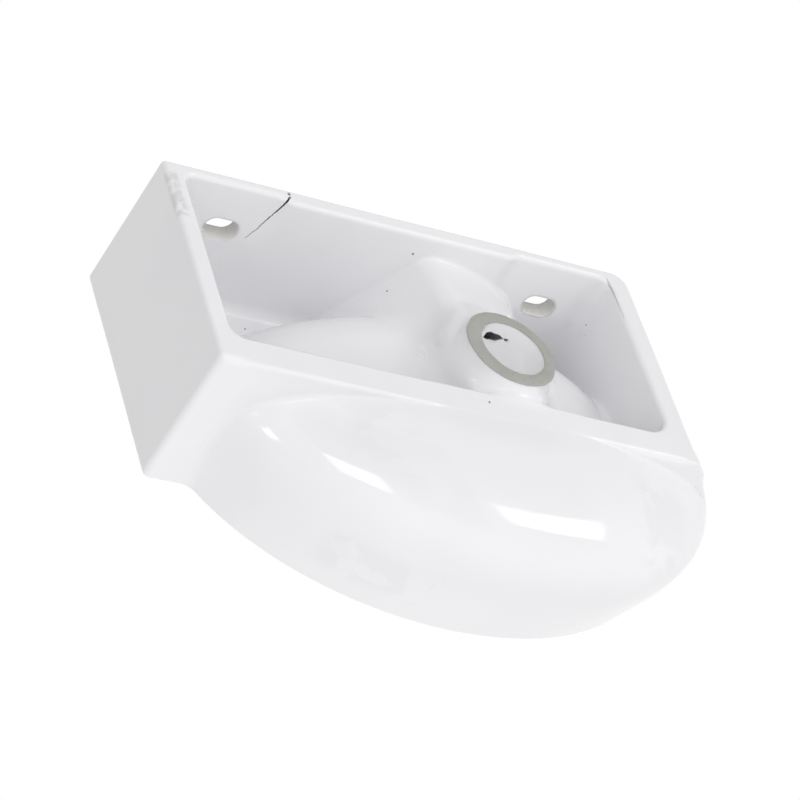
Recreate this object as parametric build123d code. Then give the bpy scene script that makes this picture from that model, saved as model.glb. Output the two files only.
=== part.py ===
from build123d import *
from dataclasses import dataclass, replace
import os

# Small wall-hung hand basin in glazed vitreous china.
# One fired casting, made here as the forms that it is cast from: a square case that hangs on the wall,
# an oval bowl set to one side of it, a flat ledge, an outlet boss and an overflow duct.
# +Y points into the wall, -Y to the user, +Z up, and +X is the user's right, which the names of sides follow.
# The origin is on the wall, midway between the two fixing slots.

os.makedirs("parts", exist_ok=True)

# Case: the square body that hangs on the wall
case_width = 360.0
case_depth = 180.0
case_height = 110.0
case_offset = 2.0
right_front_radius = 6.0
left_front_radius = 4.0
left_back_radius = 13.0
foot_edge_radius = 3.5
rim_edge_radius = 4.0
right_wall_thickness = 14.0
left_wall_thickness = 16.0
front_wall_thickness = 24.0
back_wall_thickness = 13.0
cavity_corner_radius = 10.0
cavity_left_front_radius = 18.0

# Fixing panels: the two ends of the back wall, which get thinner towards the foot
panel_relief = 4.0
panel_relief_height = 32.0
left_panel_edge_x = -81.0
right_panel_edge_x = 91.0

# Flare of the left side at the front, low down, where it runs out into the belly. Its profile has points
# given as the distance out from the case's left side and the height above the foot.
flare_profile = [(-8, 0), (-4, 0), (4.6, 15.4), (8.6, 22.7), (8.6, 35), (-8, 35)]
flare_depth = 14.0

# Fixing slots
fixing_spacing = 248.0
fixing_above_foot = 35.0
slot_length = 24.0
slot_width = 15.0

# Ledge that closes the case at rim height, with one tap hole
ledge_thickness = 12.0
tap_hole_radius = 17.5
tap_from_side = 50.0
tap_from_wall = 42.0

# Belly: the bowl's outer skin, an oval with a full round floor that leans to the front
belly_x = -26.5
belly_y = -120.0
belly_half_length = 193.0
belly_front_reach = 144.3
belly_back_reach = 63.0
belly_back_growth = 12.0
belly_back_fullness = 1.3
belly_below_foot = 3.5
belly_lean_x = -6.5
belly_lean_y = -40.0
belly_wall_power = 5.2
belly_floor_power = 1.715
skin_thickness = 12.0
pocket_from_boss = 20.0
pocket_top_above_foot = 93.0

# Dish: the underside of the bowl's floor, shallower than the belly, seen inside the case from below
dish_x = -24.0
dish_y = -109.6
dish_half_length = 180.4
dish_front_reach = 150.0
dish_back_reach = 86.5
dish_above_foot = 28.5
dish_lean_x = -28.7
dish_lean_y = 20.8
dish_wall_power = 1.42
dish_floor_power = 2.34

# Hollow of the bowl, which holds the water
floor_thickness = 9.5
hollow_x = -25.0
hollow_y = -118.0
hollow_half_length = 164.0
hollow_front_reach = 135.0
hollow_back_reach = 61.0
hollow_lean_x = -28.7
hollow_lean_y = 29.0

# Height that parts the bowl's floor from its walls
floor_top_above_foot = 50.0

# Heights of the flat ovals that each bowl-like form runs through, as shares of the way from floor to rim
bowl_height_shares = [0.0, 0.04, 0.10, 0.20, 0.36, 0.56, 0.78, 1.0]
bowl_flat_share = 0.012

# Outlet: bore, bare ground seat and the flared boss that carries it
waste_x = -45.0
waste_y = -117.0
waste_bore_radius = 23.0
seat_shift_x = 2.0
seat_shift_y = -1.0
seat_radius = 33.0
seat_thickness = 2.0
seat_below_foot = 8.0
boss_radius = 38.0
boss_flare_height = 6.0
flange_recess_radius = 32.0
flange_recess_depth = 2.5

# Overflow duct: a hollow rib between the bowl's back and the back wall, open into the bore
# The outline is its arch on the wall, from the ledge on the left down to the crest and up again on the
# right, each point as the distance from the duct's middle and the height above the foot.
duct_x = -40.5
duct_outline = [
    (-87.5, 98),
    (-68.5, 45),
    (-49.5, 32),
    (-18.5, 17),
    (18.5, 17),
    (28.5, 33),
    (48.5, 67),
    (81.5, 98),
]
duct_reach = 78.0
duct_stretch = 1.157
chamber_width = 32.0
chamber_from_wall = 20.0
chamber_depth = 17.0
chamber_floor_above_foot = 30.0
chamber_top_below_rim = 20.0
channel_x = -46.0
channel_width = 18.0
channel_height = 6.0
slit_above_foot = 1.5
channel_rise_length = 34.0
channel_top_above_foot = 29.0
overflow_port_radius = 8.0
overflow_port_length = 35.0
overflow_below_rim = 30.0

# Planes and points that follow from the sizes above
foot_z = -fixing_above_foot
rim_z = foot_z + case_height
ledge_z = rim_z - ledge_thickness
left_x = case_offset - case_width / 2
right_x = case_offset + case_width / 2
cavity_left_x = left_x + left_wall_thickness
cavity_right_x = right_x - right_wall_thickness
cavity_back_y = -back_wall_thickness
cavity_front_y = -(case_depth - front_wall_thickness)
belly_floor_z = foot_z - belly_below_foot
dish_floor_z = foot_z + dish_above_foot
hollow_floor_z = dish_floor_z + floor_thickness
pocket_top_z = foot_z + pocket_top_above_foot
floor_top_z = foot_z + floor_top_above_foot
seat_z = foot_z - seat_below_foot
seat_top_z = seat_z + seat_thickness
recess_z = hollow_floor_z - flange_recess_depth
tap_x = right_x - tap_from_side
overflow_z = rim_z - overflow_below_rim
far_left_x = left_x - case_width
far_front_y = -case_depth * 2
margin = 5.0
chip_volume = 30.0


@dataclass(frozen=True)
class Oval:
    """Bowl-like form made of flat ovals that shrink and lean from the rim down to the floor."""

    x: float
    y: float
    floor_z: float
    half_length: float
    front_reach: float
    back_reach: float
    lean_x: float
    lean_y: float
    wall_power: float
    floor_power: float
    back_growth: float = 0.0
    back_fullness: float = 1.0

    def section(self, share):
        """Flat oval at a share of the height: a long half ellipse in front and a short one behind."""
        below_rim = 1 - share
        size = (1 - (1 - max(share, bowl_flat_share)) ** self.wall_power) ** (1 / self.floor_power)
        centre = (self.x + self.lean_x * below_rim, self.y + self.lean_y * below_rim)
        length = self.half_length * size
        back_at_height = self.back_reach + self.back_growth * below_rim
        back = back_at_height * min(1.0, self.back_fullness * size)
        back_arc = EllipticalCenterArc(centre, length, back, 0, arc_size=180)
        front_arc = EllipticalCenterArc(centre, length, self.front_reach * size, 180, arc_size=180)
        height = self.floor_z + share * (rim_z - self.floor_z)
        return Pos(0, 0, height) * make_face([back_arc, front_arc])

    def solid(self):
        """Solid form from the floor up to the rim."""
        return loft([self.section(share) for share in bowl_height_shares])


def block(x_low, x_high, y_low, y_high, z_low, z_high):
    """Plain block between two corners."""
    middle = Pos((x_low + x_high) / 2, (y_low + y_high) / 2, (z_low + z_high) / 2)
    return middle * Box(x_high - x_low, y_high - y_low, z_high - z_low)


def cylinder_between(radius, x, y, z_low, z_high):
    """Upright cylinder between two heights."""
    return Pos(x, y, (z_low + z_high) / 2) * Cylinder(radius, z_high - z_low)


def upright_edge(solid, x, y):
    """The corner edge of a block that stands at one place in plan."""
    upright = solid.edges().filter_by(Axis.Z)
    return upright.sort_by_distance((x, y, (foot_z + rim_z) / 2))[0]


def save(shape, name):
    """Write one node: its one solid, without the tiny chips that cutting can leave beside it."""
    largest, *chips = sorted(shape.solids(), key=lambda solid: solid.volume, reverse=True)
    assert all(chip.volume < chip_volume for chip in chips), f"{name} is in {len(chips) + 1} solids"
    assert largest.is_valid, f"{name} is not valid"
    export_step(largest, f"parts/{name}.step")


# Case block with its rounded corners, and the hollow underneath it
case = block(left_x, right_x, -case_depth, 0, foot_z, rim_z)
case = fillet(upright_edge(case, left_x, 0), left_back_radius)
case = fillet(upright_edge(case, left_x, -case_depth), left_front_radius)
case = fillet(upright_edge(case, right_x, -case_depth), right_front_radius)
foot_rim = case.faces().sort_by(Axis.Z)[0].edges()
case = fillet(foot_rim.filter_by_position(Axis.Y, -case_depth - 1, -1), foot_edge_radius)

cavity = block(cavity_left_x, cavity_right_x, cavity_front_y, cavity_back_y, foot_z - margin, ledge_z)
cavity = fillet(upright_edge(cavity, cavity_left_x, cavity_front_y), cavity_left_front_radius)
for corner_x, corner_y in [
    (cavity_right_x, cavity_front_y),
    (cavity_right_x, cavity_back_y),
    (cavity_left_x, cavity_back_y),
]:
    cavity = fillet(upright_edge(cavity, corner_x, corner_y), cavity_corner_radius)
relief_points = [
    (0, cavity_back_y - margin, foot_z - margin),
    (0, cavity_back_y + panel_relief, foot_z - margin),
    (0, cavity_back_y + panel_relief, foot_z),
    (0, cavity_back_y, foot_z + panel_relief_height),
    (0, cavity_back_y - margin, foot_z + panel_relief_height),
]
relief_face = make_face(Polyline(relief_points, close=True))
left_panel_width = left_panel_edge_x - cavity_left_x - margin
right_panel_width = cavity_right_x - margin - right_panel_edge_x
left_relief = Pos(left_panel_edge_x - left_panel_width, 0, 0) * extrude(relief_face, left_panel_width)
right_relief = Pos(right_panel_edge_x, 0, 0) * extrude(relief_face, right_panel_width)
flare_points = [(left_x - out, -case_depth, foot_z + height) for out, height in flare_profile]
side_flare = extrude(make_face(Polyline(flare_points, close=True)), flare_depth, dir=(0, 1, 0))
above_ledge = block(left_x, right_x, -case_depth, 0, ledge_z, rim_z + margin)
walls = case + side_flare - cavity - above_ledge - left_relief - right_relief

# Bowl: belly skin outside, dish inside the case, and a pocket between the two that opens into the case
belly_oval = Oval(
    x=belly_x,
    y=belly_y,
    floor_z=belly_floor_z,
    half_length=belly_half_length,
    front_reach=belly_front_reach,
    back_reach=belly_back_reach,
    lean_x=belly_lean_x,
    lean_y=belly_lean_y,
    wall_power=belly_wall_power,
    floor_power=belly_floor_power,
    back_growth=belly_back_growth,
    back_fullness=belly_back_fullness,
)
pocket_oval = replace(
    belly_oval,
    floor_z=belly_floor_z + skin_thickness,
    half_length=belly_half_length - skin_thickness,
    front_reach=belly_front_reach - skin_thickness,
    back_reach=belly_back_reach - skin_thickness,
)
dish_oval = Oval(
    x=dish_x,
    y=dish_y,
    floor_z=dish_floor_z,
    half_length=dish_half_length,
    front_reach=dish_front_reach,
    back_reach=dish_back_reach,
    lean_x=dish_lean_x,
    lean_y=dish_lean_y,
    wall_power=dish_wall_power,
    floor_power=dish_floor_power,
)
hollow_oval = replace(
    dish_oval,
    x=hollow_x,
    y=hollow_y,
    floor_z=hollow_floor_z,
    half_length=hollow_half_length,
    front_reach=hollow_front_reach,
    back_reach=hollow_back_reach,
    lean_x=hollow_lean_x,
    lean_y=hollow_lean_y,
)
# The cut keeps the belly level with the foot inside the case and lets it hang a little lower in front
trim_points = [
    (far_left_x, -case_depth + belly_lean_y, belly_floor_z),
    (far_left_x, -case_depth, foot_z),
    (far_left_x, 0, foot_z),
    (far_left_x, 0, foot_z - case_height),
    (far_left_x, -case_depth + belly_lean_y, foot_z - case_height),
]
foot_trim = extrude(make_face(Polyline(trim_points, close=True)), case_width * 2, dir=(1, 0, 0))
belly_form = belly_oval.solid() - foot_trim
dish_form = dish_oval.solid()
bowl_hollow = hollow_oval.solid()
in_case = block(left_x, right_x, -case_depth, 0, foot_z, rim_z)
in_front = block(far_left_x, right_x, far_front_y, cavity_front_y, foot_z - margin, pocket_top_z)

# Outlet boss: a flared skirt below, a plain body above, up to the floor of the bowl's hollow
boss_x = waste_x + seat_shift_x
boss_y = waste_y + seat_shift_y
flare_top_z = seat_top_z + boss_flare_height
flare = boss_radius - seat_radius
skirt_curve = Bezier(
    (seat_radius, seat_top_z),
    (seat_radius, seat_top_z + flare / 2),
    (boss_radius, flare_top_z),
)
boss_line = Polyline(
    (boss_radius, flare_top_z),
    (boss_radius, hollow_floor_z),
    (0, hollow_floor_z),
    (0, seat_top_z),
    (seat_radius, seat_top_z),
)
boss_section = make_face([skirt_curve, boss_line])
boss_form = Pos(boss_x, boss_y, 0) * revolve(Plane.XZ * boss_section, Axis.Z)
room_radius = boss_radius + pocket_from_boss
boss_room = cylinder_between(room_radius, boss_x, boss_y, foot_z - margin, pocket_top_z + margin)
pocket = (pocket_oval.solid() & in_front) - dish_form - boss_room
bore = cylinder_between(waste_bore_radius, waste_x, waste_y, seat_z - margin, hollow_floor_z + margin)
recess = cylinder_between(flange_recess_radius, waste_x, waste_y, recess_z, hollow_floor_z + margin)
ring = cylinder_between(seat_radius, boss_x, boss_y, seat_z, seat_top_z)
waste_seat = ring - bore

# Overflow duct: the arch on the back wall runs forward to the boss and hangs lower there


def arch(y, stretch):
    """Arch outline of the duct at one distance from the wall, stretched down from the ledge."""
    drop = ledge_z - foot_z
    points = [(duct_x + along, ledge_z - (drop - height) * stretch) for along, height in duct_outline]
    return make_face(Polyline([(x, y, z) for x, z in points], close=True))


def channel_end(y, z):
    """Flat upright rectangle across the channel at one point of its way."""
    return Pos(channel_x, y, z) * (Plane.XZ * Rectangle(channel_width, channel_height))


duct_end_y = cavity_back_y - duct_reach
duct_form = loft([arch(cavity_back_y, 1.0), arch(duct_end_y, duct_stretch)])
chamber_back_y = -chamber_from_wall
chamber_front_y = chamber_back_y - chamber_depth
chamber_floor_z = foot_z + chamber_floor_above_foot
chamber = block(
    duct_x - chamber_width / 2,
    duct_x + chamber_width / 2,
    chamber_front_y,
    chamber_back_y,
    chamber_floor_z,
    rim_z - chamber_top_below_rim,
)
slit_z = foot_z + slit_above_foot + channel_height / 2
channel_top_z = foot_z + channel_top_above_foot + channel_height / 2
channel_start_y = waste_y + waste_bore_radius - margin
channel_rise_y = waste_y + waste_bore_radius
channel_top_y = channel_rise_y + channel_rise_length
channel_end_y = chamber_front_y + 2 * margin
channel_ends = [
    channel_end(channel_start_y, slit_z),
    channel_end(channel_rise_y, slit_z),
    channel_end(channel_top_y, channel_top_z),
    channel_end(channel_end_y, channel_top_z),
]
channel = loft(channel_ends[:2]) + loft(channel_ends[1:3]) + loft(channel_ends[2:])
port_y = chamber_front_y + margin - overflow_port_length / 2
port_turn = Rot(90, 0, 0)
port = Pos(duct_x, port_y, overflow_z) * port_turn * Cylinder(overflow_port_radius, overflow_port_length)
overflow_way = chamber + channel + port

# Fixing slots and tap hole
slot_reach = back_wall_thickness + margin
slot = Rot(90, 0, 0) * extrude(SlotOverall(slot_length, slot_width), slot_reach, both=True)
fixing_slots = Pos(fixing_spacing / 2, 0, 0) * slot + Pos(-fixing_spacing / 2, 0, 0) * slot
tap_hole = cylinder_between(tap_hole_radius, tap_x, -tap_from_wall, ledge_z - margin, rim_z + margin)

# Zones that part the casting into its nodes
back_zone_y = cavity_back_y - cavity_corner_radius
front_zone_y = cavity_front_y + cavity_left_front_radius
middle_x = case_offset
far_right_x = right_x + margin
below = foot_z - margin * 2
above = rim_z + margin


def zone(x_low=far_left_x, x_high=far_right_x, y_low=far_front_y, y_high=margin, z_low=below, z_high=above):
    """Block that takes in the whole basin where no limit is given."""
    return block(x_low, x_high, y_low, y_high, z_low, z_high)


between_y = {"y_low": front_zone_y, "y_high": back_zone_y}

# Walls of the case
walls_clear = walls - belly_form - dish_form - boss_form
back_wall = (walls & zone(y_low=back_zone_y)) - fixing_slots
right_side_wall = walls_clear & zone(x_low=middle_x, **between_y)
left_side_wall = walls_clear & zone(x_high=middle_x, **between_y)
front_apron_right = walls_clear & zone(x_low=waste_x, y_high=front_zone_y)
front_apron_left = walls_clear & zone(x_high=waste_x, y_high=front_zone_y)

# Ledge round the bowl's rim
ledge = (case & zone(z_low=ledge_z)) - belly_form - dish_form - tap_hole
tap_landing = ledge & zone(x_low=dish_x, y_low=belly_y)
left_ledge = ledge & zone(x_high=dish_x, y_low=belly_y)
front_ledge = ledge & zone(y_high=belly_y)

# Bowl
openings = bowl_hollow + bore + recess + overflow_way
dish = (dish_form & (belly_form + in_case)) - boss_form - openings
bowl_floor = dish & zone(z_high=floor_top_z)
bowl_wall = dish & zone(z_low=floor_top_z)
bowl_back_right = bowl_wall & zone(x_low=waste_x, y_low=dish_y)
bowl_back_left = bowl_wall & zone(x_high=waste_x, y_low=dish_y)
bowl_front_right = bowl_wall & zone(x_low=waste_x, y_high=dish_y)
bowl_front_left = bowl_wall & zone(x_high=waste_x, y_high=dish_y)
belly = belly_form - cavity - pocket - dish_form - boss_form - openings
belly_right = belly & zone(x_low=waste_x)
belly_left = belly & zone(x_high=waste_x, y_high=cavity_front_y)
belly_side = belly & zone(x_high=cavity_left_x, y_low=cavity_front_y)

# Outlet and overflow
waste_boss = boss_form - openings
overflow_duct = duct_form - dish_form - boss_form - walls - openings

for name, shape in {
    "back_wall": back_wall,
    "right_side_wall": right_side_wall,
    "left_side_wall": left_side_wall,
    "front_apron_right": front_apron_right,
    "front_apron_left": front_apron_left,
    "tap_landing": tap_landing,
    "left_ledge": left_ledge,
    "front_ledge": front_ledge,
    "bowl_floor": bowl_floor,
    "bowl_back_right": bowl_back_right,
    "bowl_back_left": bowl_back_left,
    "bowl_front_right": bowl_front_right,
    "bowl_front_left": bowl_front_left,
    "belly_right": belly_right,
    "belly_left": belly_left,
    "belly_side": belly_side,
    "waste_boss": waste_boss,
    "waste_seat": waste_seat,
    "overflow_duct": overflow_duct,
}.items():
    save(shape, name)
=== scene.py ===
"""Looks of a small wall-hung hand basin in glazed white china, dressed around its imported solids.

The real basin is one fired casting, so its glazed surface is one unbroken skin here: the level surface of a
distance formula that joins the case, bowl, boss and duct with the soft fillets that glaze leaves. Everything
is worked out in millimetres in the part's own frame: +Y into the wall, +Z up, +X to the user's right.
"""

import logging
import math
from dataclasses import dataclass
from enum import Enum

import bpy
import numpy as np
from mathutils import Matrix, Vector


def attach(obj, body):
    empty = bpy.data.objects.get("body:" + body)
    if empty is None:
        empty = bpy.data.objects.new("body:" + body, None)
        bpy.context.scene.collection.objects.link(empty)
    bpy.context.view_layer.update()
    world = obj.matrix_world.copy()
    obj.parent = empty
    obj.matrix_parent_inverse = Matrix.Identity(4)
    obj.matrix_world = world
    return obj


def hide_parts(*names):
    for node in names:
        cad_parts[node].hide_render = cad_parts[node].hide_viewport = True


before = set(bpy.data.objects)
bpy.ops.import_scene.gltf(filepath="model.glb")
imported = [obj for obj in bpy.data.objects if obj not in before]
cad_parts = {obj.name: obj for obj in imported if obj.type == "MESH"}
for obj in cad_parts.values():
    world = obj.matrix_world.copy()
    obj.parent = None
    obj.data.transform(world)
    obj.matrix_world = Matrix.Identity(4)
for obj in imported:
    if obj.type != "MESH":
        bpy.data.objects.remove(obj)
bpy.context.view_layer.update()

MM = 0.001
TINY = 1e-9
FLATTEST = 1e-5
SLOPE_FLOOR = 0.05
AXIS_SAMPLES = 4001
AXIS_BLEND = 40
MARK_REACH = 3.0
MARK_ROUNDS = 6
Array = np.ndarray
Socket = bpy.types.NodeSocket
log = logging.getLogger("basin")


# Distance formulas


def round_join(a: Array, b: Array, radius: float | Array) -> Array:
    """Joins two solids with a round fillet.

    The formula: the smaller distance where either solid is further than the radius, and inside that reach the
    radius less the length of the two shortfalls, which is a quarter circle of that radius.

    Args:
        a: Distance to the first solid, negative inside it.
        b: Distance to the second solid.
        radius: Fillet radius.

    Returns:
        Distance to the joined solid.
    """
    reach_a = np.maximum(radius - a, 0.0)
    reach_b = np.maximum(radius - b, 0.0)
    return np.maximum(radius, np.minimum(a, b)) - np.hypot(reach_a, reach_b)


def round_common(a: Array, b: Array, radius: float | Array) -> Array:
    """Keeps what two solids share, with its edge rounded: the join of the two outsides, turned inside out."""
    return -round_join(-a, -b, radius)


def round_cut(a: Array, b: Array, radius: float | Array) -> Array:
    """Cuts the second solid out of the first, with the edge of the cut rounded."""
    return round_common(a, -b, radius)


def ease(value: Array) -> Array:
    """Step from 0 to 1 that starts and ends level: three squares less two cubes."""
    t = np.clip(value, 0.0, 1.0)
    return t * t * (3.0 - 2.0 * t)


def fade(value: Array, start: float, run: float) -> Array:
    """Eased step from 0 at the start to 1 a run further on, which lies below the start for a negative run."""
    return ease((value - start) / run)


def grown(radius: tuple, share: Array) -> Array:
    """First number of a pair plus a share, from 0 to 1, of the second."""
    return radius[0] + radius[1] * share


def slab(value: Array, middle: float, half: float) -> Array:
    """Distance to a slab, from its middle and half its thickness."""
    return np.abs(value - middle) - half


def plan_box(x: Array, y: Array, low: tuple, high: tuple, radius: float | Array) -> Array:
    """Distance in plan to a rectangle with round corners.

    The formula: the offsets beyond the rectangle shrunk by the corner radius, their length outside and their
    larger one inside, less the radius.
    """
    along = np.abs(x - (low[0] + high[0]) / 2) - (high[0] - low[0]) / 2 + radius
    across = np.abs(y - (low[1] + high[1]) / 2) - (high[1] - low[1]) / 2 + radius
    outside = np.hypot(np.maximum(along, 0.0), np.maximum(across, 0.0))
    return outside + np.minimum(np.maximum(along, across), 0.0) - radius


@dataclass(frozen=True)
class BowlForm:
    """Oval form whose plan shrinks and leans towards its floor.

    With b the share of the height below the rim and r the plan radius as a share of the rim's, the surface is
    where r to the floor power and b to the wall power add up to one.
    """

    floor_z: float
    centre: tuple
    half_length: float
    front_reach: float
    back_reach: float
    lean: tuple
    wall_power: float
    floor_power: float
    back_growth: float = 0.0
    back_fullness: float = 1.0
    rim_z: float = 75.0
    lowest_share: float = 1.6
    least_size: float = 1e-6
    fullness_blend: float = 0.004
    limits: tuple = (-60.0, 200.0)

    def distance(self, x: Array, y: Array, z: Array) -> Array:
        """Near distance to the form, open above the rim: the formula's value over the length of its slope."""
        height = self.rim_z - self.floor_z
        below = np.clip((self.rim_z - z) / height, 0.0, self.lowest_share)
        back = self.back_reach + self.back_growth * below
        if self.back_fullness > 1.0:
            size = np.clip(1.0 - np.minimum(below, 1.0) ** self.wall_power, self.least_size, 1.0)
            size = size ** (1.0 / self.floor_power)
            full = 1.0 / self.back_fullness
            back = back / (0.5 * (size + full + np.sqrt((size - full) ** 2 + self.fullness_blend)))
        u = (x - self.centre[0] - self.lean[0] * below) / self.half_length
        off_y = y - self.centre[1] - self.lean[1] * below
        reach = np.where(off_y > 0.0, back, self.front_reach)
        v = off_y / reach
        radius = np.sqrt(u * u + v * v) + TINY
        value = radius**self.floor_power + below**self.wall_power - 1.0
        pull = self.floor_power * radius ** (self.floor_power - 2.0)
        slope_x = pull * u / self.half_length
        slope_y = pull * v / reach
        slope_z = -self.wall_power * below ** (self.wall_power - 1.0) / height
        slope_z = slope_z + slope_x * self.lean[0] / height + slope_y * self.lean[1] / height
        slope = np.sqrt(slope_x**2 + slope_y**2 + slope_z**2) + FLATTEST
        return np.clip(value / slope, *self.limits)


BELLY = BowlForm(-38.5, (-26.5, -120.0), 193.0, 144.3, 63.0, (-6.5, -40.0), 5.2, 1.715, 12.0, 1.3)
POCKET = BowlForm(-26.5, (-26.5, -120.0), 181.0, 132.3, 51.0, (-6.5, -40.0), 5.2, 1.715, 12.0, 1.3)
DISH = BowlForm(-6.5, (-24.0, -109.6), 180.4, 150.0, 86.5, (-28.7, 20.8), 1.42, 2.34)
HOLLOW = BowlForm(3.0, (-25.0, -118.0), 164.0, 135.0, 61.0, (-28.7, 29.0), 1.42, 2.34)


@dataclass(frozen=True)
class DuctForm:
    """Overflow duct: the common part of six planes, which hang lower towards the boss.

    A side is the way it faces, its distance out and slope, its depth and slope, and its fillet.
    """

    middle_x: float = -40.5
    ledge_z: float = 63.0
    stretch: float = 0.157
    stretch_from_y: float = -9.0
    stretch_run: float = 82.0
    stretch_limit: float = 1.2
    crest: float = 81.0
    right_side: tuple = (1.0, 22.0, 0.86, 74.0, 0.51, 7.0)
    left_side: tuple = (-1.0, 26.0, 0.45, 78.0, 0.89, 14.0)
    left_shoulder: tuple = (-1.0, 68.0, 0.94, 53.0, 0.34, 10.0)
    back_y: float = -12.0
    front_y: float = -91.0
    end_edge: float = 1.0

    def distance(self, x: Array, y: Array, z: Array) -> Array:
        """Near distance to the duct."""
        share = np.clip((self.stretch_from_y - y) / self.stretch_run, 0.0, self.stretch_limit)
        drop = (self.ledge_z - z) / (1.0 + self.stretch * share)
        across = x - self.middle_x
        form = drop - self.crest
        for side in (self.right_side, self.left_side, self.left_shoulder):
            way, out, out_slope, down, down_slope, fillet = side
            plane = (way * across - out) * out_slope + (drop - down) * down_slope
            form = round_common(form, plane, fillet)
        form = round_common(form, y - self.back_y, self.end_edge)
        return round_common(form, self.front_y - y, self.end_edge)


@dataclass(frozen=True)
class OverflowWay:
    """Hollow way of the overflow: a port, a chamber and a channel that ends in the bore's ragged slit.

    A pair along an axis is a middle and half a length, and the last two pairs are a fade's start and run.
    """

    middle_x: float = -40.5
    port_z: float = 45.0
    port_radius: float = 8.0
    port_along_y: tuple = (-49.5, 17.5)
    port_edge: float = 0.5
    chamber_half_width: float = 16.0
    chamber_along_y: tuple = (-28.5, 8.5)
    chamber_along_z: tuple = (25.0, 30.0)
    channel_along_x: tuple = (-46.0, 9.0)
    channel_along_y: tuple = (-63.0, 36.0)
    channel_z: float = -30.5
    channel_half_height: float = 3.0
    channel_steepness: float = 0.8
    climb_from_y: float = -94.0
    climb_run: float = 34.0
    climb: float = 27.5
    slit_half_height: float = 2.5
    slit_wave: tuple = (0.4, 0.9, 0.6)
    slit_narrowing: float = 2.2
    slit_narrows: tuple = (-43.0, -10.0)
    slit_starts: tuple = (-88.0, -6.0)

    def distance(self, x: Array, y: Array, z: Array) -> Array:
        """Near distance to the hollow."""
        port = np.hypot(x - self.middle_x, z - self.port_z) - self.port_radius
        port = round_common(port, slab(y, *self.port_along_y), self.port_edge)
        chamber = np.maximum(slab(x, self.middle_x, self.chamber_half_width), slab(y, *self.chamber_along_y))
        chamber = np.maximum(chamber, slab(z, *self.chamber_along_z))
        rise = np.clip((y - self.climb_from_y) / self.climb_run, 0.0, 1.0) * self.climb
        rag, waves, phase = self.slit_wave
        ragged = self.slit_half_height + rag * np.sin(x * waves + phase)
        ragged = ragged - self.slit_narrowing * fade(x, *self.slit_narrows)
        wide = self.channel_half_height
        half_height = wide + (ragged - wide) * fade(y, *self.slit_starts)
        upright = (np.abs(z - self.channel_z - rise) - half_height) * self.channel_steepness
        channel = np.maximum(slab(x, *self.channel_along_x), upright)
        channel = np.maximum(channel, slab(y, *self.channel_along_y))
        return np.minimum(np.minimum(port, chamber), channel)


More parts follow.
